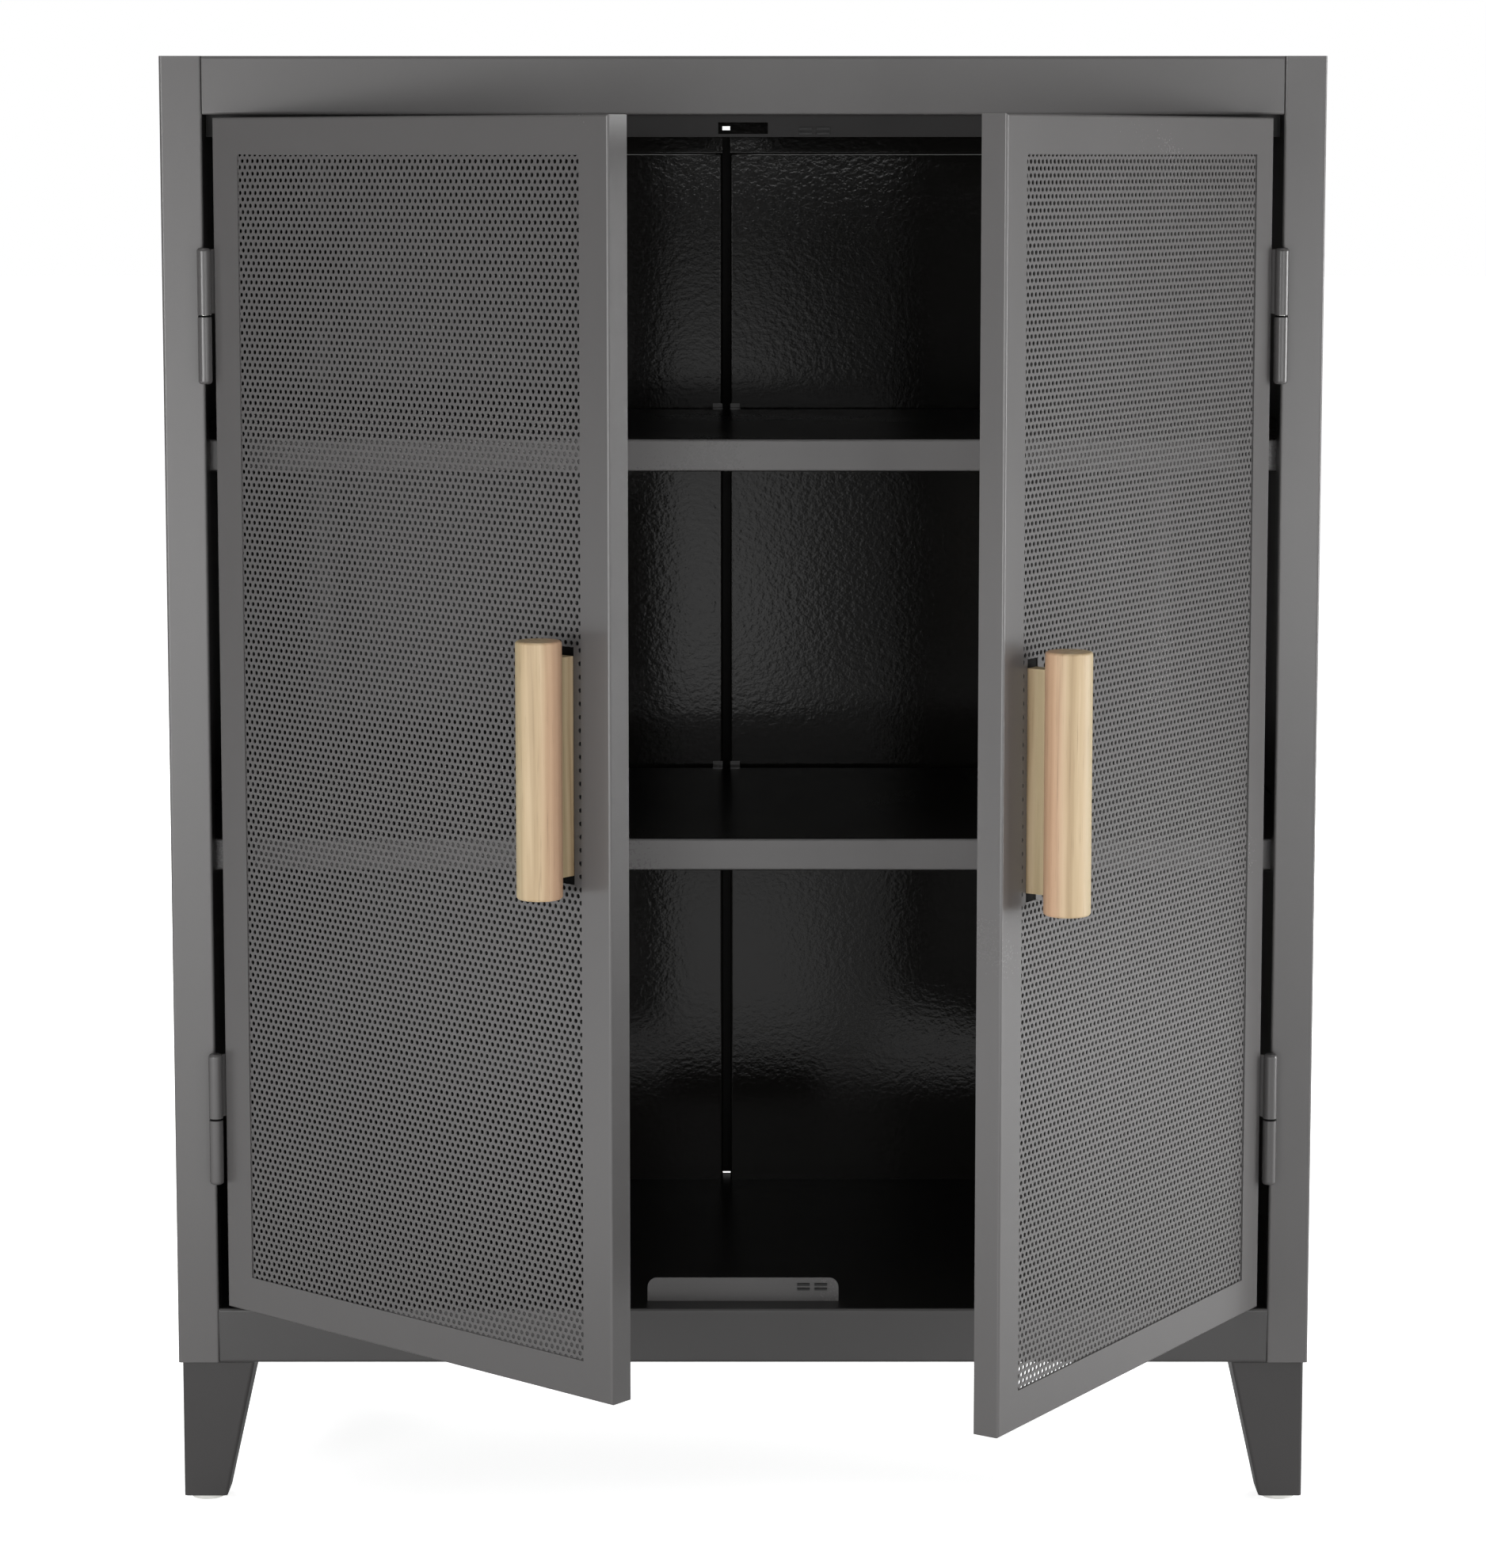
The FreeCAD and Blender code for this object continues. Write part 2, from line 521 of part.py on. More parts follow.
print("door axis x %.3f y %.3f  glide x %.3f y %.3f  open z %.1f..%.1f" % (
    X_AXIS, Y_AXIS, X_OUT - LEG_INSET - LEG_FOOT / 2, Y_REAR - LEG_INSET - LEG_FOOT / 2,
    Z_OPEN_LOW, Z_OPEN_HIGH))
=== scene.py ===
import json
import math

import bpy
import numpy as np
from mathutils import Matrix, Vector


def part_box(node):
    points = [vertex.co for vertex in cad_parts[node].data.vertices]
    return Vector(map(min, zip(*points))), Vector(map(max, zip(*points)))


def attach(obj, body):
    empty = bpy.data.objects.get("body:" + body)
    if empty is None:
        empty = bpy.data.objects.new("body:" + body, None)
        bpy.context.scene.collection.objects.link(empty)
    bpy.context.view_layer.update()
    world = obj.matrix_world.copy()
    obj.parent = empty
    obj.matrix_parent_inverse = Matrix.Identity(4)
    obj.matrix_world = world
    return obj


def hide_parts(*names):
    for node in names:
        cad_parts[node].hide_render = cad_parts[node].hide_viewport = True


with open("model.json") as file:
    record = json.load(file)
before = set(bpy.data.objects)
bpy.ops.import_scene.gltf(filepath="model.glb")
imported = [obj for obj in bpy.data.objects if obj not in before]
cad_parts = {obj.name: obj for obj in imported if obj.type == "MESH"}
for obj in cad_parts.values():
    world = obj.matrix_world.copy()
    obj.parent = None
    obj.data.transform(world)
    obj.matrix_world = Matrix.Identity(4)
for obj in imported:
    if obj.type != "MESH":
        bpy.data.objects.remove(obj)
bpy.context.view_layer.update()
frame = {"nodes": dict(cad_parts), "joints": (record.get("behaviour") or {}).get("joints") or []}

# ---- sizes, in metres ----
# the perforated sheets: round holes in staggered rows, made in bands of rows
HOLE_ACROSS = 0.0030
HOLE_PITCH = 0.0050
ROW_PITCH = HOLE_PITCH * math.sqrt(3) / 2
HOLE_SIDES = 8
PANEL_T = 0.0008
PANEL_LAP = 0.0080
HOLES_PAST_WINDOW = 0.0030
SHEET_BANDS = 3

# the handles, and what the slot for the spacer leaves round it
SPACER_SIZE = (0.011, 0.143)
SLOT_SPARE = (0.001, 0.006)
BAR_R = 0.015
BAR_EDGE = 0.002
BAR_FROM_EDGE = 0.0385
BAR_FACETS = 96
EDGE_STEPS = 9

# the doors, and how far their hinge axis stands from their edge and face
DOOR_SIZE = (0.3655, 0.834)
DOOR_LOW_Z = 0.144
DOOR_BORDER = 0.025
DOOR_SHEET = 0.001
DOOR_T = 0.018
AXIS_FROM_EDGE = (0.003, 0.006)

# where the faces that look into the cabinet lie; they get a near-black painted shade
INSIDE_X = 0.3994
INSIDE_REAR = 0.1995
INSIDE_LOW, INSIDE_HIGH = 0.1405, 1.0194
BEHIND_FRONTS = -0.1975
BEHIND_SHELF_FRONT = -0.1745
BACK_SKIN = 0.1776
STRIP_SKIN = 0.0004
GROOVE_X, GROOVE_HALF = -0.013, 0.008

# the oak: where its rings' middle lies and how close they stand
PITH_AWAY = 0.021
RINGS_PER_METRE = 420.0

# the room and the camera
ROOM_GLOW = 0.10
CEILING_GLOW = 0.85
CEILING_ANGLE = 60
FLOOR_GLOW = 0.80
FLOOR_ALBEDO = 0.86
FLOOR_REACH = 30.0
STRIP_WALL_Y = -3.8
CAMERA_PLACE = (0.0, -3.075, 0.952)
CAMERA_TILT = 6.457
CAMERA_LENS = 95.62
CAMERA_SENSOR = 36.0
CAMERA_SHIFT = -0.10


# ---- shader sums ----
class Flow:
    """A socket that can be added, subtracted, multiplied and divided like a number."""

    def __init__(self, bench, socket):
        self.bench, self.socket = bench, socket

    def sum(self, operation, first, second=None):
        inputs = [first] if second is None else [first, second]
        return self.bench.put("ShaderNodeMath", {"operation": operation}, inputs)

    def __add__(self, other):
        return self.sum("ADD", self, other)

    __radd__ = __add__

    def __sub__(self, other):
        return self.sum("SUBTRACT", self, other)

    def __rsub__(self, other):
        return self.sum("SUBTRACT", other, self)

    def __mul__(self, other):
        return self.sum("MULTIPLY", self, other)

    __rmul__ = __mul__

    def __truediv__(self, other):
        return self.sum("DIVIDE", self, other)

    def __rtruediv__(self, other):
        return self.sum("DIVIDE", other, self)

    def __lt__(self, other):
        return self.sum("LESS_THAN", self, other)

    def __gt__(self, other):
        return self.sum("GREATER_THAN", self, other)

    def __abs__(self):
        return self.sum("ABSOLUTE", self)

    def clamped(self):
        return self.bench.put("ShaderNodeClamp", {}, [self, 0.0, 1.0])


class Bench:
    """A material's nodes, put in one at a time."""

    def __init__(self, name):
        self.material = bpy.data.materials.new(name)
        self.material.use_nodes = True
        self.tree = self.material.node_tree
        self.shader = self.tree.nodes["Principled BSDF"]

    def put(self, kind, settings, inputs, output=0):
        """A node of one type, with its settings made first and then its sockets' values or links."""
        node = self.tree.nodes.new(kind)
        for key, value in settings.items():
            if key == "stops":
                ramp = node.color_ramp
                while len(ramp.elements) < len(value):
                    ramp.elements.new(0.5)
                for stop, (place, colour) in zip(ramp.elements, value):
                    stop.position, stop.color = place, (*colour, 1.0)
            else:
                setattr(node, key, value)
        named = inputs.items() if isinstance(inputs, dict) else enumerate(inputs)
        for key, value in named:
            if isinstance(value, Flow):
                self.tree.links.new(value.socket, node.inputs[key])
            elif value is not None:
                node.inputs[key].default_value = value
        return Flow(self, node.outputs[output])

    def place(self):
        """Where a point is on the object, in metres."""
        return self.put("ShaderNodeTexCoord", {}, {}, "Object")

    def axes(self):
        """A point's three distances along X, Y and Z, in metres."""
        place = self.place()
        return [self.put("ShaderNodeSeparateXYZ", {}, [place], k) for k in range(3)]

    def stretched(self, scale, centre=(0, 0, 0), turn=0.0):
        """Object coordinates centred on a point, turned about Z and scaled on each axis."""
        settled = self.put("ShaderNodeVectorMath", {"operation": "SUBTRACT"}, [self.place(), centre])
        turned = self.put("ShaderNodeMapping", {"vector_type": "POINT"},
                          {"Vector": settled, "Rotation": (0, 0, turn), "Scale": (1, 1, 1)})
        return self.put("ShaderNodeVectorMath", {"operation": "MULTIPLY"}, [turned, scale])

    def noise(self, vector, scale, detail=2.0, roughness=0.5):
        return self.put("ShaderNodeTexNoise", {}, {
            "Vector": vector, "Scale": scale, "Detail": detail, "Roughness": roughness})

    def ramp(self, value, stops, smooth=False):
        flow = self.put("ShaderNodeValToRGB", {"stops": stops}, {"Fac": value})
        if smooth:
            flow.socket.node.color_ramp.interpolation = "EASE"
        return flow

    def mix(self, share, first, second, blend="MIX"):
        """Two colours mixed or multiplied by a share."""
        first, second = [c if isinstance(c, Flow) else (*c, 1.0) for c in (first, second)]
        return self.put("ShaderNodeMix", {"data_type": "RGBA", "blend_type": blend},
                        {0: share, 6: first, 7: second}, 2)

    def bump(self, height, strength, distance):
        return self.put("ShaderNodeBump", {}, {
            "Strength": strength, "Distance": distance, "Height": height})

    def fixed(self, **values):
        """Sets plain values on the shader's own sockets; an underscore in a name is a space."""
        for key, value in values.items():
            self.shader.inputs[key.replace("_", " ")].default_value = value

    def feed(self, name, flow):
        self.tree.links.new(flow.socket, self.shader.inputs[name])


# ---- finishes ----
def grey(b, tone):
    """A grey made from one number."""
    return b.put("ShaderNodeCombineColor", {"mode": "RGB"}, [tone, tone, tone])


def indoors(front):
    """A mask that is one on faces that look into the cabinet, behind a given depth: where the near-black
    painted shade goes.
    """
    def mask(b):
        x, y, z = b.axes()
        return ((abs(x) < INSIDE_X) * (y > front) * (y < INSIDE_REAR)
                * (z > INSIDE_LOW) * (z < INSIDE_HIGH))
    return mask


def back_inside(b):
    """A mask that is one on the back sheets' inner faces and in the groove between them: where the
    near-black painted shade goes.
    """
    x, y, _ = b.axes()
    return ((y < BACK_SKIN) + (abs(x - GROOVE_X) < GROOVE_HALF)).clamped()


def strip_front(b):
    """A mask that is one on the face of the strip behind the groove that shows inside the cabinet: where the
    near-black painted shade goes.
    """
    return b.axes()[1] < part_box("back_splice_strip")[0].y + STRIP_SKIN


def powder_coat(name, colour, rough, peel, peel_size, streak=1.0, shade_mask=None, sheen=0.5, rough_outside=0.0):
    """Baked paint on sheet steel: an even colour, faint mottling and a fine orange-peel skin.

    Where the shade mask is one, the colour is a near-black painted shade, standing for the shade inside the
    cabinet. Elsewhere rough_outside is added to its roughness.
    """
    b = Bench(name)
    place = b.place()
    cloud = b.noise(place, 7.0, 3.0)
    fine = b.noise(place, 700.0, 1.0)
    tone = 0.955 + cloud * 0.06 + fine * 0.03
    base = b.mix(1.0, colour, grey(b, tone), "MULTIPLY")
    roughness = rough - 0.04 + cloud * 0.06 + fine * 0.02
    if shade_mask is not None:
        mask = shade_mask(b)
        base = b.mix(mask, base, PAINTED_SHADE_GREY)
        roughness = roughness + (1.0 - mask) * rough_outside
    b.feed("Base Color", base)
    b.feed("Roughness", roughness)
    skin = b.noise(b.stretched((1.0 / streak, 1.0, 1.0)), 1.0 / peel_size, 2.0, 0.55)
    b.feed("Normal", b.bump(skin, peel, peel_size * 0.12))
    b.fixed(IOR=1.5, Specular_IOR_Level=sheen)
    return b.material


def oak(name, centre, seed, heart):
    """Turned oak: uneven stripes along the bar, from rings about a pith outside it, and short dark pores.

    The wood turns pinker towards the side called heart, which is 1 for +X and -1 for -X.
    """
    b = Bench(name)
    pith = (centre[0] + PITH_AWAY * math.cos(seed), centre[1] + PITH_AWAY * math.sin(seed), centre[2])
    wander = b.noise(b.stretched((1, 1, 0.16), centre), 26.0, 2.0)
    from_pith = b.stretched((1, 1, 0.02), pith, 0.3)
    away = b.put("ShaderNodeVectorMath", {"operation": "LENGTH"}, [from_pith], "Value")
    wave = b.put("ShaderNodeMath", {"operation": "PINGPONG"}, [away * RINGS_PER_METRE + wander * 3.4, 1.0])
    band = b.noise(b.stretched((1, 1, 0.035), centre, seed), 150.0, 3.0, 0.65)
    fibre = b.noise(b.stretched((1, 1, 0.02), centre, seed), 1000.0, 3.0, 0.65)
    grain = (wave * 0.30 + band * 0.70).clamped()
    pale = b.ramp(grain, [(0.26, (0.31, 0.215, 0.115)), (0.42, (0.43, 0.315, 0.185)),
                          (0.58, (0.50, 0.380, 0.235)), (0.76, (0.57, 0.445, 0.290))], True)
    across = (b.axes()[0] - centre[0]) * (heart / BAR_R)
    blush = b.put("ShaderNodeMapRange", {"interpolation_type": "SMOOTHSTEP"}, {
        "Value": across + wander * 0.9, "From Min": 0.45, "From Max": 1.35, "To Max": 0.75})
    warm = b.mix(blush, pale, (0.53, 0.320, 0.205))
    edge = b.put("ShaderNodeMapRange", {"interpolation_type": "SMOOTHSTEP"}, {
        "Value": across, "From Min": -0.55, "From Max": -0.95, "To Max": 0.6})
    green = b.mix(edge, warm, (0.37, 0.305, 0.175))
    pores = b.put("ShaderNodeMapRange", {"interpolation_type": "SMOOTHSTEP"}, {
        "Value": fibre, "From Min": 0.60, "From Max": 0.72, "To Max": 0.45})
    b.feed("Base Color", b.mix(pores, green, (0.20, 0.135, 0.08)))
    b.feed("Roughness", 0.48 + pores * 0.2 + band * 0.06)
    b.feed("Normal", b.bump(1.0 - pores + fibre * 0.35, 0.25, 0.0002))
    b.fixed(IOR=1.45)
    return b.material


def plated(name, colour, rough):
    """Zinc plate: bright metal with a fine drawn grain."""
    b = Bench(name)
    grain = b.noise(b.stretched((1, 1, 0.15)), 1400.0, 2.0)
    cloud = b.noise(b.place(), 160.0, 2.0)
    b.feed("Base Color", b.mix(cloud * 0.35, colour, tuple(c * 0.72 for c in colour)))
    b.feed("Roughness", rough + grain * 0.12)
    b.feed("Normal", b.bump(grain, 0.12, 0.0001))
    b.fixed(Metallic=1.0)
    return b.material


def moulded(name, colour, rough):
    """Moulded plastic with a faint texture."""
    b = Bench(name)
    cloud = b.noise(b.place(), 220.0, 2.0)
    b.feed("Base Color", b.mix(cloud * 0.3, colour, tuple(c * 0.86 for c in colour)))
    b.feed("Roughness", rough + cloud * 0.08)
    b.feed("Normal", b.bump(b.noise(b.place(), 1500.0, 1.0), 0.08, 0.0001))
    b.fixed(IOR=1.5)
    return b.material


def shaded(colour, share):
    """A colour made lighter or darker by a share."""
    return tuple(c * share for c in colour)


GREY = (0.0945, 0.0910, 0.0905)
# near-black painted shade, put on faces inside the cabinet and the doors where shade falls
PAINTED_SHADE_GREY = (0.0068, 0.0063, 0.0055)
# the main coat; faces inside the cabinet get the near-black painted shade
body_paint = powder_coat("grey_powder_coat", GREY, 0.30, 0.12, 0.0018, shade_mask=indoors(BEHIND_FRONTS))
# bottom panel: the grey at half its tone, a painted shade for the recessed rail lit less behind the doors
rail_paint_shaded = powder_coat("grey_powder_coat_bottom", shaded(GREY, 0.5), 0.32, 0.12, 0.0018,
                         shade_mask=indoors(BEHIND_FRONTS))
# shelves: the grey lifted by a quarter, a painted light on their fronts; their insides get the painted shade
shelf_paint_lit_and_shaded = powder_coat("grey_powder_coat_shelves", shaded(GREY, 1.25), 0.28, 0.12, 0.0018,
                          shade_mask=indoors(BEHIND_SHELF_FRONT))
# back sheets: near-black painted shade on their inner faces and in the groove
back_coat_and_shade = powder_coat("dark_coat_inside", GREY, 0.10, 0.22, 0.0033, 1.2, shade_mask=back_inside, sheen=0.20,
                           rough_outside=0.20)
# the groove's strip: near-black painted shade on the face that shows inside
strip_coat_and_shade = powder_coat("dark_coat_groove_strip", GREY, 0.5, 0.1, 0.002, shade_mask=strip_front, sheen=0.1)
# hinges and the shelves' rear lugs: the grey at 0.8, a painted shade
hinge_paint_shaded = powder_coat("grey_powder_coat_hinges", shaded(GREY, 0.8), 0.26, 0.10, 0.0014)
# black painted shade for the hinge washers and the handle backing, standing for dark gaps
black_shade_paint = powder_coat("black_coat_groove", (0.004, 0.004, 0.004), 0.6, 0.1, 0.002, sheen=0.05)
# the door stop: the grey at about a quarter, a painted shade under the top rail
lip_paint_shaded = powder_coat("grey_powder_coat_stop", shaded(GREY, 0.26), 0.32, 0.12, 0.0018, sheen=0.12)
# legs: the grey at half, a painted shade for the little light that reaches them
leg_paint_shaded = powder_coat("grey_powder_coat_legs", shaded(GREY, 0.52), 0.40, 0.12, 0.0018, sheen=0.22)
plain_paint = powder_coat("grey_powder_coat_small_pieces", GREY, 0.26, 0.15, 0.0018)
zinc = plated("bright_zinc", (0.66, 0.66, 0.64), 0.26)
worn_zinc = plated("dull_zinc", (0.50, 0.50, 0.48), 0.42)
catch_block = moulded("black_catch_block", (0.004, 0.004, 0.004), 0.5)
glide_plastic = moulded("pale_glide_plastic", (0.78, 0.78, 0.75), 0.34)


# ---- how each door stands ----
class Door:
    """Places points given in a shut door's own width, depth and height on the open door."""

    def __init__(self, side):
        self.side = side
        self.name = "left" if side < 0 else "right"
        joint = next(j for j in frame["joints"] if self.name in j["name"])
        self.axis = Vector(joint["pos_m"])
        self.angle = math.radians(-joint["range_deg"][0])

    def put(self, across, out, up):
        """across: from the hinge edge to the free edge; out: forwards from the face; up: height."""
        dx = across + AXIS_FROM_EDGE[0]
        dy = AXIS_FROM_EDGE[1] - out
        c, s = math.cos(self.angle), math.sin(self.angle)
        x = self.axis.x - self.side * (dx * c + dy * s)
        y = self.axis.y - dx * s + dy * c
        return np.stack(np.broadcast_arrays(x, y, up), axis=-1)

    def channel(self, b):
        """A mask that is one inside the door's folded border and nought on its outer faces: where the
        near-black painted shade goes.
        """
        x, y, z = b.axes()
        c, s = math.cos(self.angle), math.sin(self.angle)
        u, v = (x - self.axis.x) * -self.side, y - self.axis.y
        across = u * c - v * s - AXIS_FROM_EDGE[0]
        out = AXIS_FROM_EDGE[1] - (u * s + v * c)
        skin = DOOR_SHEET * 0.5
        middle = DOOR_LOW_Z + DOOR_SIZE[1] / 2
        return ((abs(across - DOOR_SIZE[0] / 2) < DOOR_SIZE[0] / 2 - skin)
                * (abs(z - middle) < DOOR_SIZE[1] / 2 - skin)
                * (out < -DOOR_SHEET * 1.5 - PANEL_T) * (out > skin - DOOR_T))


doors = [Door(-1), Door(1)]
for door in doors:
    # each door's coat; inside its folded border the colour is the near-black painted shade
    door.paint = powder_coat(f"grey_powder_coat_{door.name}_door", GREY, 0.26, 0.10, 0.0016,
                             shade_mask=door.channel)


# ---- which finish each node has: the first start that fits its name ----
FINISHES = (
    ("back_splice", strip_coat_and_shade), ("back_", back_coat_and_shade), ("shelf_rear_lugs", hinge_paint_shaded),
    ("shelf_clips", worn_zinc), ("shelf_", shelf_paint_lit_and_shaded), ("door_stop_lip", lip_paint_shaded), ("leg_", leg_paint_shaded),
    # the hinge washers and the handle backing take the black painted shade
    ("hinge_pins", zinc), ("hinge_washers", black_shade_paint), ("hinge_", hinge_paint_shaded),
    ("handle_screws", zinc), ("handle_backing", black_shade_paint),
    ("magnet", catch_block), ("glide", glide_plastic),
    ("door_frame_left", doors[0].paint), ("door_frame_right", doors[1].paint),
    ("side_panel", body_paint), ("top_panel", body_paint), ("bottom_panel", rail_paint_shaded), ("", plain_paint))
for node_name, node_object in frame["nodes"].items():
    finish = next(coat for start, coat in FINISHES if node_name.startswith(start))
    for holder in node_object.material_slots:
        holder.material = finish
    if not node_object.material_slots:
        node_object.data.materials.append(finish)


def piece(name, points, faces, finish, body, smooth=False):
    """One mesh object at the origin, from an array of points and arrays of faces, less the points unused."""
    used, corners = np.unique(np.concatenate([group.reshape(-1) for group in faces]), return_inverse=True)
    cuts = np.cumsum([group.size for group in faces])[:-1]
    mesh = bpy.data.meshes.new(name)
    mesh.from_pydata(points[used].tolist(), [], [
        face for group, part in zip(faces, np.split(corners.reshape(-1), cuts))
        for face in part.reshape(group.shape).tolist()])
    mesh.validate()
    mesh.polygons.foreach_set("use_smooth", [smooth] * len(mesh.polygons))
    mesh.materials.append(finish)
    made = bpy.data.objects.new(name, mesh)
    bpy.context.scene.collection.objects.link(made)
    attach(made, body)
    return made


# ---- perforated panels ----
def web(columns, rows, slot_box, origin, margins):
    """The flat pattern of a perforated sheet.

    Points stand on a honeycomb: zigzag lines between the rows of holes, a half pitch apart. Two half
    pitches of a row make a hexagon, and an eight-sided hole stands in each hexagon, joined to its six
    corners. The lowest and highest lines are straight. Margins are plain quads, and a slot clears the
    hexagons it meets and joins their rim to its own. Returns points in width and height, the faces with
    four and three corners, the edge loops that need a wall, and the holes' rings.
    """
    half = HOLE_PITCH / 2
    tall, short = ROW_PITCH * 2 / 3, ROW_PITCH / 3
    h = np.arange(2 * columns + 2)
    line = np.arange(rows + 1)
    up = np.where((h[None, :] + line[:, None]) % 2 == 1, -tall, -short)
    z = origin[1] + line[:, None] * ROW_PITCH + up
    z[0] = origin[1] - ROW_PITCH / 2
    z[-1] = origin[1] + (rows - 0.5) * ROW_PITCH
    x = np.broadcast_to(origin[0] + h[None, :] * half, z.shape)
    left = np.stack([np.full(rows + 1, margins[0]), z[:, 0]], axis=-1)[:, None]
    right = np.stack([np.full(rows + 1, margins[1]), z[:, -1]], axis=-1)[:, None]
    grid = np.concatenate([left, np.stack([x, z], axis=-1), right], axis=1)
    if margins[2] is not None:
        foot = grid[:1].copy()
        foot[..., 1] = margins[2]
        grid = np.concatenate([foot, grid])
    if margins[3] is not None:
        head = grid[-1:].copy()
        head[..., 1] = margins[3]
        grid = np.concatenate([grid, head])
    low_row = 0 if margins[2] is None else 1
    n_line, n_h = grid.shape[:2]
    index = np.arange(n_line * n_h).reshape(n_line, n_h)
    row, cell = np.meshgrid(np.arange(rows), np.arange(columns), indexing="ij")
    mid = 2 * cell + 1 + row % 2 + 1
    at = row + low_row
    free = np.ones((n_line - 1, n_h - 1), bool)
    keep = np.ones(row.shape, bool)
    if slot_box is not None:
        x0, x1, z0, z1 = slot_box
        cx = grid[at, mid, 0]
        cz = origin[1] + row * ROW_PITCH
        reach = HOLE_PITCH * 0.5
        inside = (cx > x0 - reach) & (cx < x1 + reach) & (cz > z0 - reach) & (cz < z1 + reach)
        l0, l1 = at[inside].min(), at[inside].max() + 1
        h0, h1 = mid[inside].min() - 1, mid[inside].max() + 1
        keep = ~((at >= l0) & (at < l1) & (mid >= h0) & (mid <= h1))
        free[l0:l1, h0:h1] = False
    at, mid, row = at[keep], mid[keep], row[keep]
    free[at, mid - 1] = False
    free[at, mid] = False
    plain_l, plain_h = np.nonzero(free)
    quads = np.stack([index[plain_l, plain_h], index[plain_l, plain_h + 1],
                      index[plain_l + 1, plain_h + 1], index[plain_l + 1, plain_h]], axis=-1)
    corner = np.stack([index[at + 1, mid + 1], index[at + 1, mid], index[at + 1, mid - 1],
                       index[at, mid - 1], index[at, mid], index[at, mid + 1]], axis=-1)
    turn = math.tau * (np.arange(HOLE_SIDES) + 0.5) / HOLE_SIDES
    radius = HOLE_ACROSS / 2 / math.sqrt(math.sin(math.tau / HOLE_SIDES) * HOLE_SIDES / math.tau)
    centre = np.stack([grid[at, mid, 0], origin[1] + row * ROW_PITCH], axis=-1)
    ring_points = centre[:, None] + radius * np.stack([np.cos(turn), np.sin(turn)], axis=-1)
    first = n_line * n_h
    ring = first + np.arange(len(at) * HOLE_SIDES).reshape(-1, HOLE_SIDES)
    points = np.concatenate([grid.reshape(-1, 2), ring_points.reshape(-1, 2)])
    c, o = corner.T, ring.T
    tris = np.concatenate([np.stack(t, axis=-1) for t in (
        (c[0], o[1], o[0]), (c[0], c[1], o[1]), (c[1], o[2], o[1]), (c[1], c[2], o[2]),
        (c[2], o[3], o[2]), (c[3], o[5], o[4]), (c[3], c[4], o[5]), (c[4], o[6], o[5]),
        (c[4], c[5], o[6]), (c[5], o[7], o[6]))])
    quads = np.concatenate([quads, np.stack([c[2], c[3], o[4], o[3]], axis=-1),
                            np.stack([c[5], c[0], o[0], o[7]], axis=-1)])
    loops = [np.concatenate([index[0, :-1], index[:-1, -1], index[-1, :0:-1], index[:0:-1, 0]])]
    if slot_box is not None:
        rim = np.concatenate([index[l0, h0:h1], index[l0:l1, h1], index[l1, h1:h0:-1], index[l1:l0:-1, h0]])
        rim_at = points[rim]
        on_slot = np.clip(rim_at, (x0, z0), (x1, z1))
        new, back = np.unique(np.round(on_slot, 7), axis=0, return_inverse=True)
        inner = len(points) + back.reshape(-1)
        points = np.concatenate([points, new])
        after, inner_after = np.roll(rim, -1), np.roll(inner, -1)
        same = inner == inner_after
        quads = np.concatenate([quads, np.stack([rim, after, inner_after, inner], axis=-1)[~same]])
        tris = np.concatenate([tris, np.stack([rim, after, inner], axis=-1)[same]])
        loops.append(inner[~same][::-1])
    return points, quads, tris, loops, ring


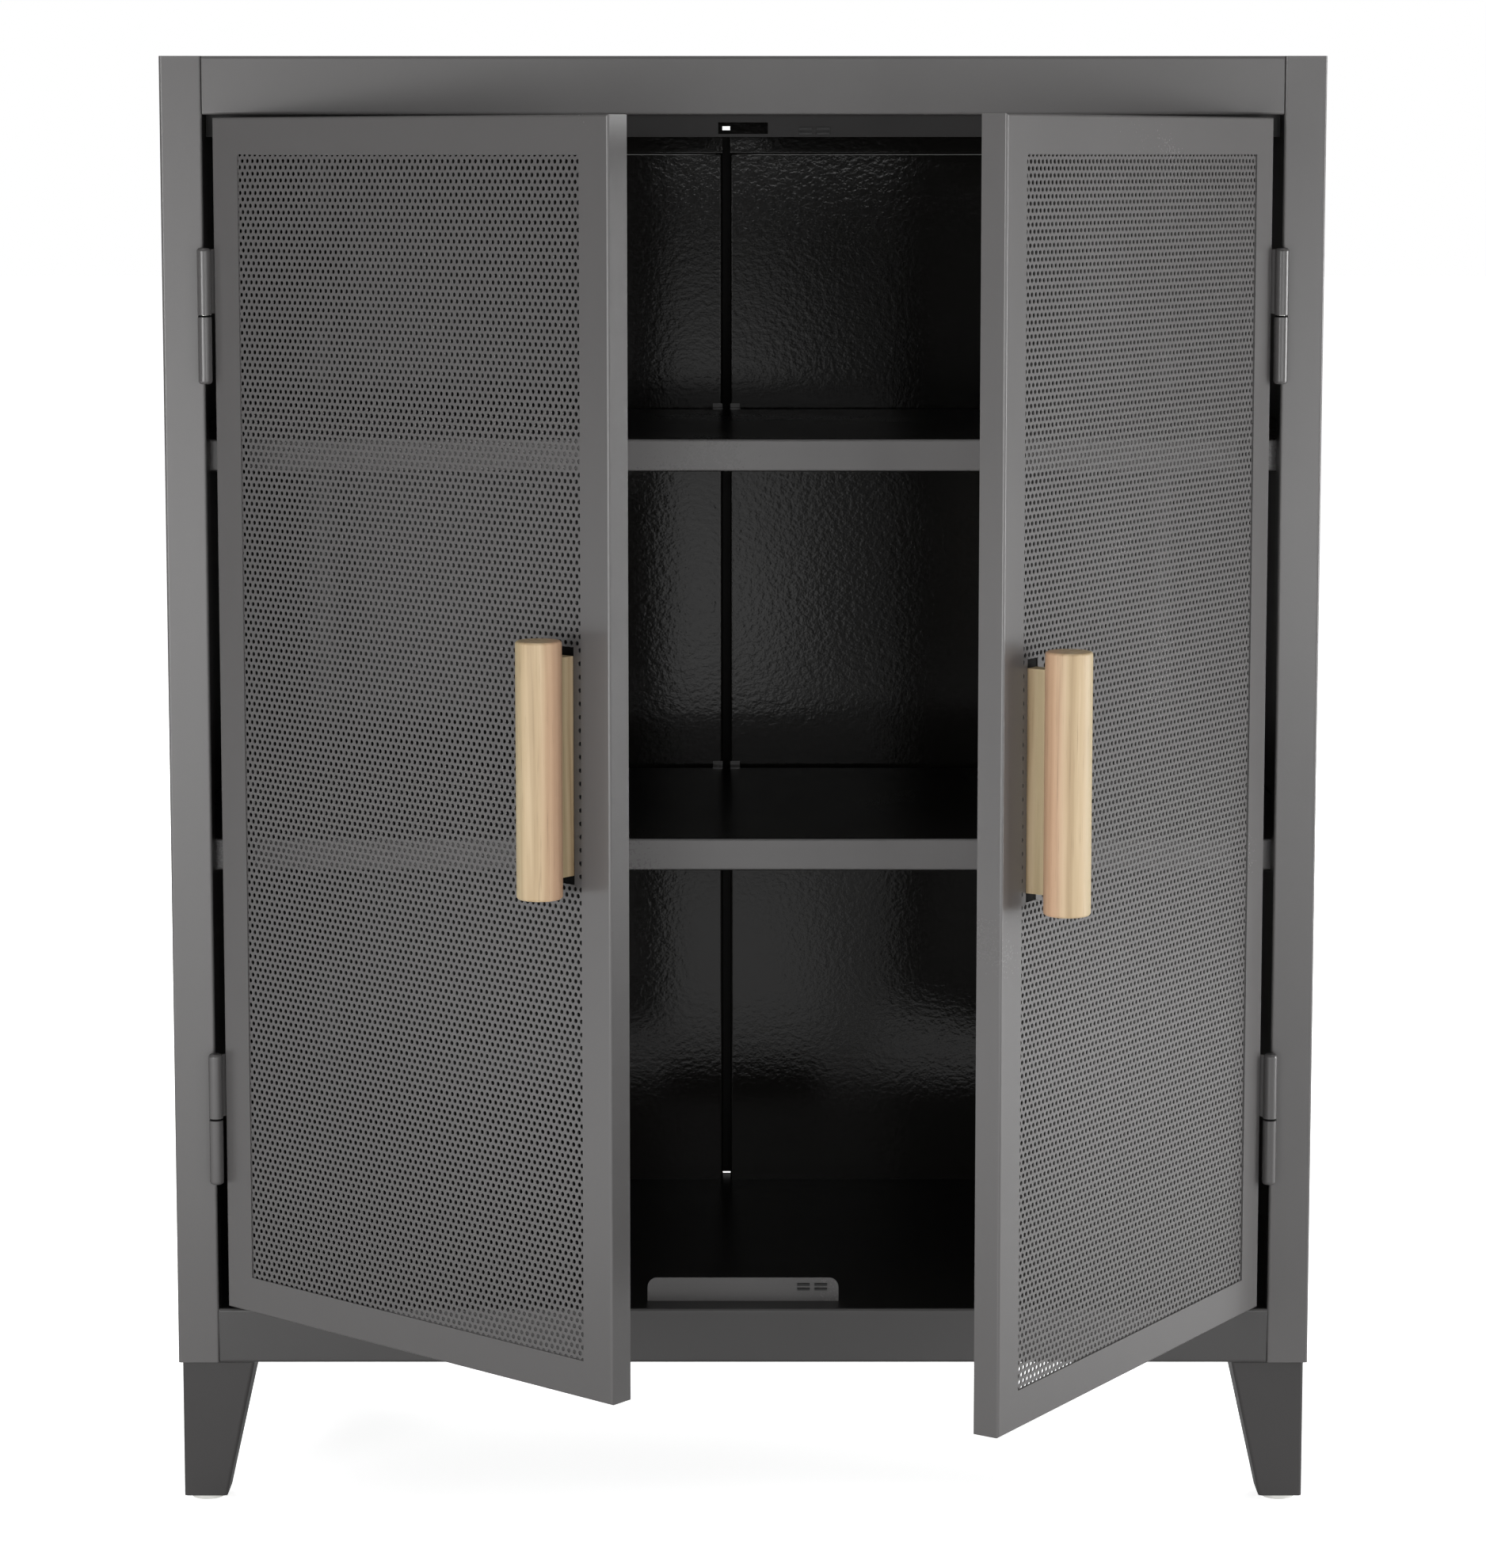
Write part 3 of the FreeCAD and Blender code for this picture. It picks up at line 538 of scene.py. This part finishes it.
def perforated_band(door, part):
    """One band of a door's sheet: the flat pattern on two faces, joined round its edges and holes."""
    width = DOOR_SIZE[0]
    window = (DOOR_BORDER, width - DOOR_BORDER, DOOR_LOW_Z + DOOR_BORDER,
              DOOR_LOW_Z + DOOR_SIZE[1] - DOOR_BORDER)
    outer = (window[0] - PANEL_LAP, window[1] + PANEL_LAP, window[2] - PANEL_LAP, window[3] + PANEL_LAP)
    columns = int((window[1] - window[0] + 2 * HOLES_PAST_WINDOW) / HOLE_PITCH)
    rows = int((window[3] - window[2] + 2 * HOLES_PAST_WINDOW) / ROW_PITCH)
    x_first = (outer[0] + outer[1]) / 2 - (columns + 0.5) * HOLE_PITCH / 2
    z_first = (outer[2] + outer[3]) / 2 - (rows - 1) * ROW_PITCH / 2
    cuts = [round(rows * k / SHEET_BANDS) for k in range(SHEET_BANDS + 1)]
    low, high = cuts[part], cuts[part + 1]
    low -= low % 2
    high -= high % 2 if part < SHEET_BANDS - 1 else 0
    x_bar = width - BAR_FROM_EDGE
    middle = DOOR_LOW_Z + DOOR_SIZE[1] / 2
    half_w, half_h = SPACER_SIZE[0] / 2 + SLOT_SPARE[0], SPACER_SIZE[1] / 2 + SLOT_SPARE[1]
    slot_box = (x_bar - half_w, x_bar + half_w, middle - half_h, middle + half_h) if part == 1 else None
    points, quads, tris, loops, ring = web(
        columns, high - low, slot_box, (x_first, z_first + low * ROW_PITCH),
        (outer[0], outer[1], outer[2] if part == 0 else None, outer[3] if part == SHEET_BANDS - 1 else None))
    n = len(points)
    front = door.put(points[:, 0], -DOOR_SHEET, points[:, 1])
    back = door.put(points[:, 0], -DOOR_SHEET - PANEL_T, points[:, 1])
    walls = [np.stack([a, b, b + n, a + n], axis=-1)
             for a, b in [(loop[::-1], np.roll(loop[::-1], -1)) for loop in loops]]
    inside = np.stack([ring, np.roll(ring, -1, axis=1), np.roll(ring, -1, axis=1) + n, ring + n], axis=-1)
    walls.append(inside.reshape(-1, 4))
    fours = np.concatenate([quads, quads[:, ::-1] + n] + walls)
    threes = np.concatenate([tris, tris[:, ::-1] + n])
    if door.side > 0:
        fours, threes = fours[:, ::-1], threes[:, ::-1]
    made = piece(f"perforated_sheet_{door.name}_{part + 1}", np.concatenate([front, back]),
                 (fours, threes), door.paint, f"{door.name}_door")
    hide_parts(f"door_panel_{door.name}")
    return made


for door in doors:
    for part in range(SHEET_BANDS):
        perforated_band(door, part)


# ---- handle bars ----
def handle_bar(door):
    """A turned bar: a profile of radius and height, spun, its two rims rounded by quarter circles."""
    low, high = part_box(f"handle_bar_{door.name}")
    centre = (low + high) / 2
    length = high.z - low.z
    bend = np.linspace(0, math.pi / 2, EDGE_STEPS)
    r = np.concatenate([[BAR_R * 0.5], BAR_R - BAR_EDGE + BAR_EDGE * np.sin(bend)])
    up = np.concatenate([[0.0], BAR_EDGE * (1 - np.cos(bend))])
    r = np.concatenate([r, r[::-1]])
    up = np.concatenate([up, length - up[::-1]])
    around = np.linspace(0, math.tau, BAR_FACETS, endpoint=False)
    x = centre.x + r[:, None] * np.cos(around)
    y = centre.y + r[:, None] * np.sin(around)
    z = low.z + np.broadcast_to(up[:, None], x.shape)
    points = np.concatenate([np.stack([x, y, z], axis=-1).reshape(-1, 3),
                             [(centre.x, centre.y, low.z), (centre.x, centre.y, high.z)]])
    n, m = x.shape
    index = np.arange(n * m).reshape(n, m)
    after = np.roll(index, -1, axis=1)
    skin = np.stack([index[:-1], after[:-1], after[1:], index[1:]], axis=-1).reshape(-1, 4)
    foot = np.stack([np.full(m, n * m), after[0], index[0]], axis=-1)
    head = np.stack([np.full(m, n * m + 1), index[-1], after[-1]], axis=-1)
    made = piece(f"oak_bar_{door.name}", points, (skin, foot, head),
                 oak(f"oak_{door.name}", tuple(centre), 0.6 if door.side < 0 else 2.4, -door.side),
                 f"{door.name}_door", smooth=True)
    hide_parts(f"handle_bar_{door.name}")
    low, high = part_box(f"handle_spacer_{door.name}")
    sapwood = (low + high) / 2 - Vector((door.side * BAR_R, 0, 0))
    coat = oak(f"oak_spacer_{door.name}", tuple(sapwood), 3.1 + door.side, -door.side)
    for holder in frame["nodes"][f"handle_spacer_{door.name}"].material_slots:
        holder.material = coat
    return made


for door in doors:
    handle_bar(door)


# ---- floor, light and camera ----
floor_mesh = bpy.data.meshes.new("floor")
floor_mesh.from_pydata([(-FLOOR_REACH, -FLOOR_REACH, 0), (FLOOR_REACH, -FLOOR_REACH, 0),
                        (FLOOR_REACH, FLOOR_REACH, 0), (-FLOOR_REACH, FLOOR_REACH, 0)], [], [(0, 1, 2, 3)])
floor = bpy.data.objects.new("floor", floor_mesh)
bpy.context.scene.collection.objects.link(floor)
floor_bench = Bench("pale_floor")
floor_bench.fixed(Base_Color=(FLOOR_ALBEDO,) * 3 + (1.0,), Roughness=0.8, Specular_IOR_Level=0.2,
                  Emission_Color=(1.0, 1.0, 1.0, 1.0))
seen_directly = floor_bench.put("ShaderNodeLightPath", {}, {}, "Is Camera Ray")
floor_bench.feed("Emission Strength", FLOOR_GLOW * seen_directly)
floor_mesh.materials.append(floor_bench.material)

scene = bpy.context.scene
world = bpy.data.worlds.new("studio")
world.use_nodes = True
nodes, links = world.node_tree.nodes, world.node_tree.links
nodes["Background"].inputs["Color"].default_value = (1, 1, 1, 1)
nodes["Background"].inputs["Strength"].default_value = ROOM_GLOW
seen = nodes.new("ShaderNodeBackground")
seen.inputs["Color"].default_value = (1, 1, 1, 1)
blend = nodes.new("ShaderNodeMixShader")
ray = nodes.new("ShaderNodeLightPath")
links.new(ray.outputs["Is Camera Ray"], blend.inputs[0])
links.new(nodes["Background"].outputs[0], blend.inputs[1])
links.new(seen.outputs[0], blend.inputs[2])
links.new(blend.outputs[0], nodes["World Output"].inputs[0])
scene.world = world
scene.view_settings.view_transform = "Standard"

# each softbox: its name, its place, the point it faces, its width and height, and its watts;
# the glints stand for the bright floor and only show in reflections, and the fills never do
SOFTBOXES = (
    ("fill_rear_left", (-1.8, 3.4, 2.0), (0, 0, 0.5), (2.0, 1.6), 110),
    ("fill_rear_right", (2.2, 3.0, 1.6), (0, 0, 0.5), (1.6, 1.6), 60),
    ("side_right", (2.6, -0.3, 0.5), (0, -0.2, 0.45), (1.0, 1.4), 54),
    ("corner_left", (-2.1, -3.1, 0.7), (0, 0, 0.45), (1.2, 1.4), 50),
    ("side_left", (-2.9, -1.35, 0.25), (-0.2, -0.4, 0.35), (0.9, 0.5), 3),
    ("corner_right", (2.2, -3.0, 0.8), (0, 0, 0.5), (1.2, 1.6), 14),
    ("glint_floor_left", (-0.32, -1.6, 0.01), (-0.32, -1.6, 1.0), (0.84, 1.3), 3.2),
    ("glint_floor_right", (0.33, -0.95, 0.01), (0.33, -0.95, 1.0), (0.38, 0.26), 0.3),
    ("glint_door_left", (-1.7, -0.95, 0.01), (-1.7, -0.95, 1.0), (1.6, 0.9), 4.5),
    ("strip_rail", (0.05, STRIP_WALL_Y, 1.12), (0.05, 0, 1.12), (1.0, 0.14), 3.0),
)
# the wall of strips behind the camera, seen in the fronts and the back: the middle and width of each
# column, then the middle, height and columns' watts of each row
STRIP_COLUMNS = ((-1.175, 1.45), (-0.175, 0.55), (1.13, 0.94))
STRIP_ROWS = ((0.15, 0.3, (7.8, 1.15, 6.6)), (0.45, 0.3, (6.0, 0.9, 6.0)),
              (0.7, 0.2, (2.2, 0.32, 3.2)), (1.05, 0.5, (2.4, 0.06, 2.8)))
SOFTBOXES += tuple(
    (f"strip_{row}_{column}", (x, STRIP_WALL_Y, z), (x, 0, z), (wide, high), watts[column])
    for row, (z, high, watts) in enumerate(STRIP_ROWS) for column, (x, wide) in enumerate(STRIP_COLUMNS))
for name, place, aim, size, watts in SOFTBOXES:
    data = bpy.data.lights.new(name, "AREA")
    data.shape, data.size, data.size_y, data.energy = "RECTANGLE", size[0], size[1], watts
    light = bpy.data.objects.new(name, data)
    light.location = place
    light.visible_camera = False
    light.visible_diffuse = not name.startswith("glint")
    light.visible_glossy = not name.startswith("fill")
    light.rotation_euler = (Vector(aim) - Vector(place)).to_track_quat("-Z", "Y").to_euler()
    scene.collection.objects.link(light)

sun = bpy.data.lights.new("ceiling", "SUN")
sun.energy, sun.angle = CEILING_GLOW, math.radians(CEILING_ANGLE)
scene.collection.objects.link(bpy.data.objects.new("ceiling", sun))

camera_data = bpy.data.cameras.new("camera")
camera = bpy.data.objects.new("camera", camera_data)
scene.collection.objects.link(camera)
scene.camera = camera
camera_data.sensor_width = CAMERA_SENSOR
camera_data.lens = CAMERA_LENS
camera_data.shift_y = CAMERA_SHIFT
camera.location = CAMERA_PLACE
camera.rotation_euler = (math.radians(90 - CAMERA_TILT), 0, 0)
